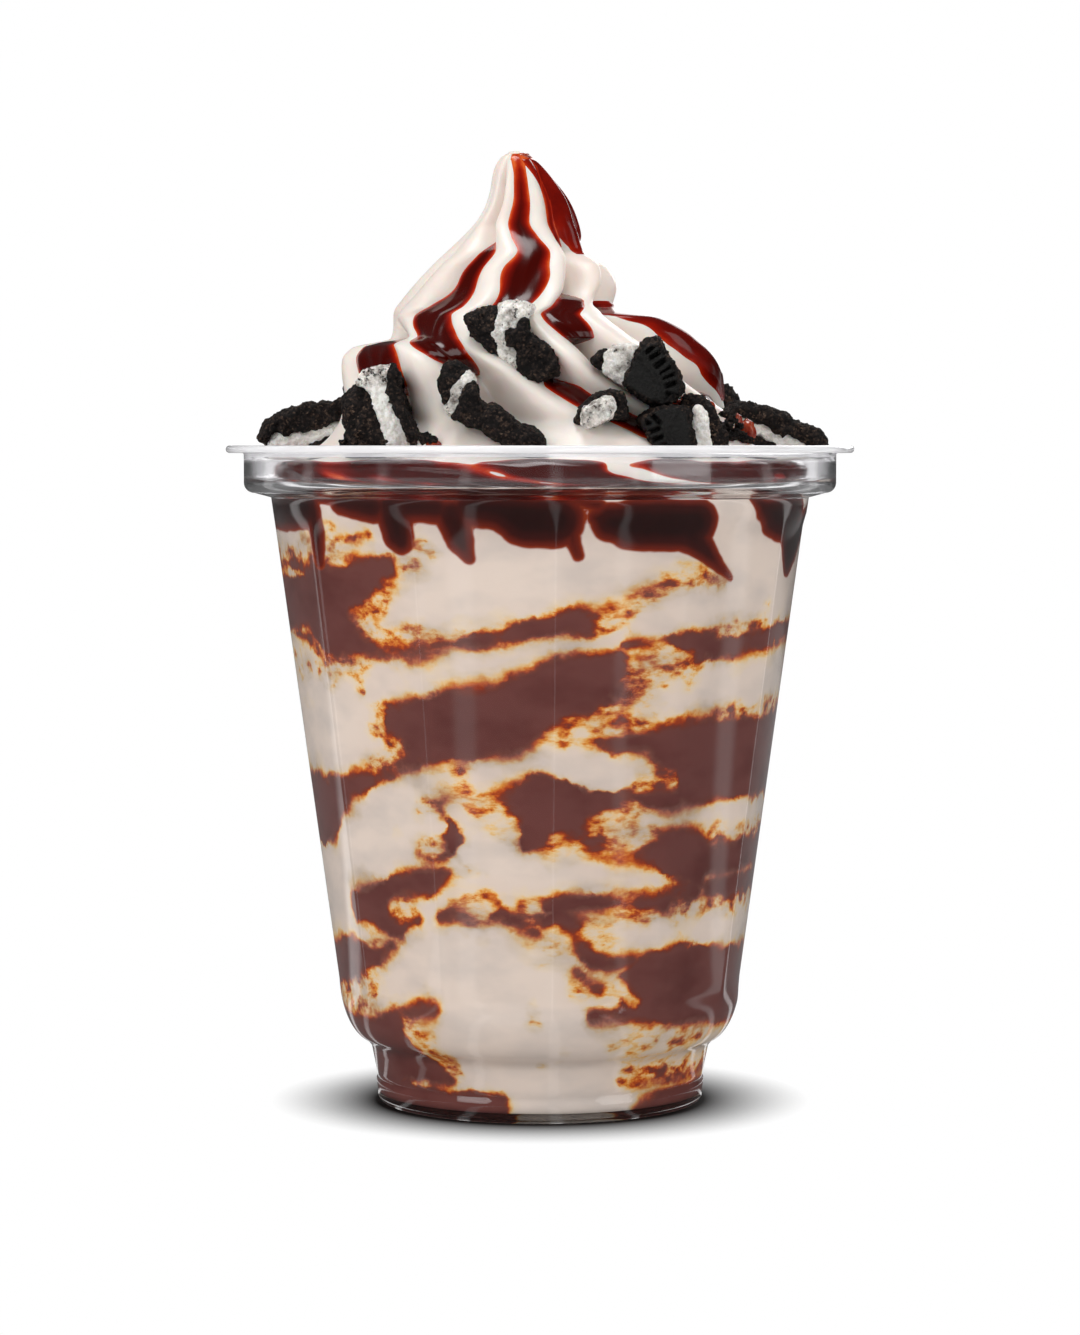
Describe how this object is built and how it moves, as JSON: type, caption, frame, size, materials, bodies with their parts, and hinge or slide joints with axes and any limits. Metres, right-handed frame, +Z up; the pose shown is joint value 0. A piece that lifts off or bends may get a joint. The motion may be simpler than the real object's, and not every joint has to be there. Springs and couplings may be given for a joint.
{
  "type": "sundae",
  "caption": "Soft-serve sundae in a clear fluted plastic cup: fudge-rippled ice cream, a piped swirl with fudge in its grooves, and broken sandwich cookies round the rim.",
  "frame": {"origin": "middle of the cup's foot, on the surface that it stands on", "axes": "+Z up along the cup's axis, -Y to the front, where the picture was taken from, +X to the right"},
  "size_m": [0.0948, 0.0948, 0.144],
  "materials": {
    "clear_plastic": "clear gloss",
    "rippled_ice_cream": "smooth, rippled white and fudge brown",
    "soft_serve": "creamy satin with glossy fudge in the grooves",
    "cookie_wafer": "dry, crumbly",
    "cookie_cream": "dry, crumbly"
  },
  "bodies": {
    "root": {"cookie_left_rim_wafer_a": "cookie_wafer", "cookie_left_rim_cream": "cookie_cream", "cookie_left_rim_wafer_b": "cookie_wafer", "cookie_left_front_wafer_a": "cookie_wafer", "cookie_left_front_cream": "cookie_cream", "cookie_left_front_wafer_b": "cookie_wafer", "cookie_middle_left_cream": "cookie_cream", "cookie_middle_left_wafer_b": "cookie_wafer", "cookie_middle_low_wafer_a": "cookie_wafer", "cookie_upper_wafer_a": "cookie_wafer", "cookie_upper_cream": "cookie_cream", "cookie_upper_wafer_b": "cookie_wafer", "cookie_right_small_cream": "cookie_cream", "cookie_right_small_wafer_b": "cookie_wafer", "cookie_right_upper_wafer_a": "cookie_wafer", "cookie_right_upper_cream": "cookie_cream", "cookie_right_upper_wafer_b": "cookie_wafer", "cookie_right_front_wafer_a": "cookie_wafer", "cookie_right_front_cream": "cookie_cream", "cookie_right_front_wafer_b": "cookie_wafer", "cookie_right_rim_wafer_a": "cookie_wafer", "cookie_right_rim_cream": "cookie_cream", "cookie_right_rim_wafer_b": "cookie_wafer", "cookie_back_1_wafer_a": "cookie_wafer", "cookie_back_1_cream": "cookie_cream", "cookie_back_1_wafer_b": "cookie_wafer", "cookie_back_2_wafer_a": "cookie_wafer", "cookie_back_2_cream": "cookie_cream", "cookie_back_2_wafer_b": "cookie_wafer", "cookie_back_3_wafer_a": "cookie_wafer", "cookie_back_3_cream": "cookie_cream", "cookie_back_3_wafer_b": "cookie_wafer", "cookie_back_4_wafer_a": "cookie_wafer", "cookie_back_4_cream": "cookie_cream", "cookie_back_4_wafer_b": "cookie_wafer", "cookie_back_5_wafer_a": "cookie_wafer", "cookie_back_5_cream": "cookie_cream", "cookie_back_5_wafer_b": "cookie_wafer", "cup": "clear_plastic", "ice_cream_fill": "rippled_ice_cream", "swirl": "soft_serve"}
  },
  "joints": []
}
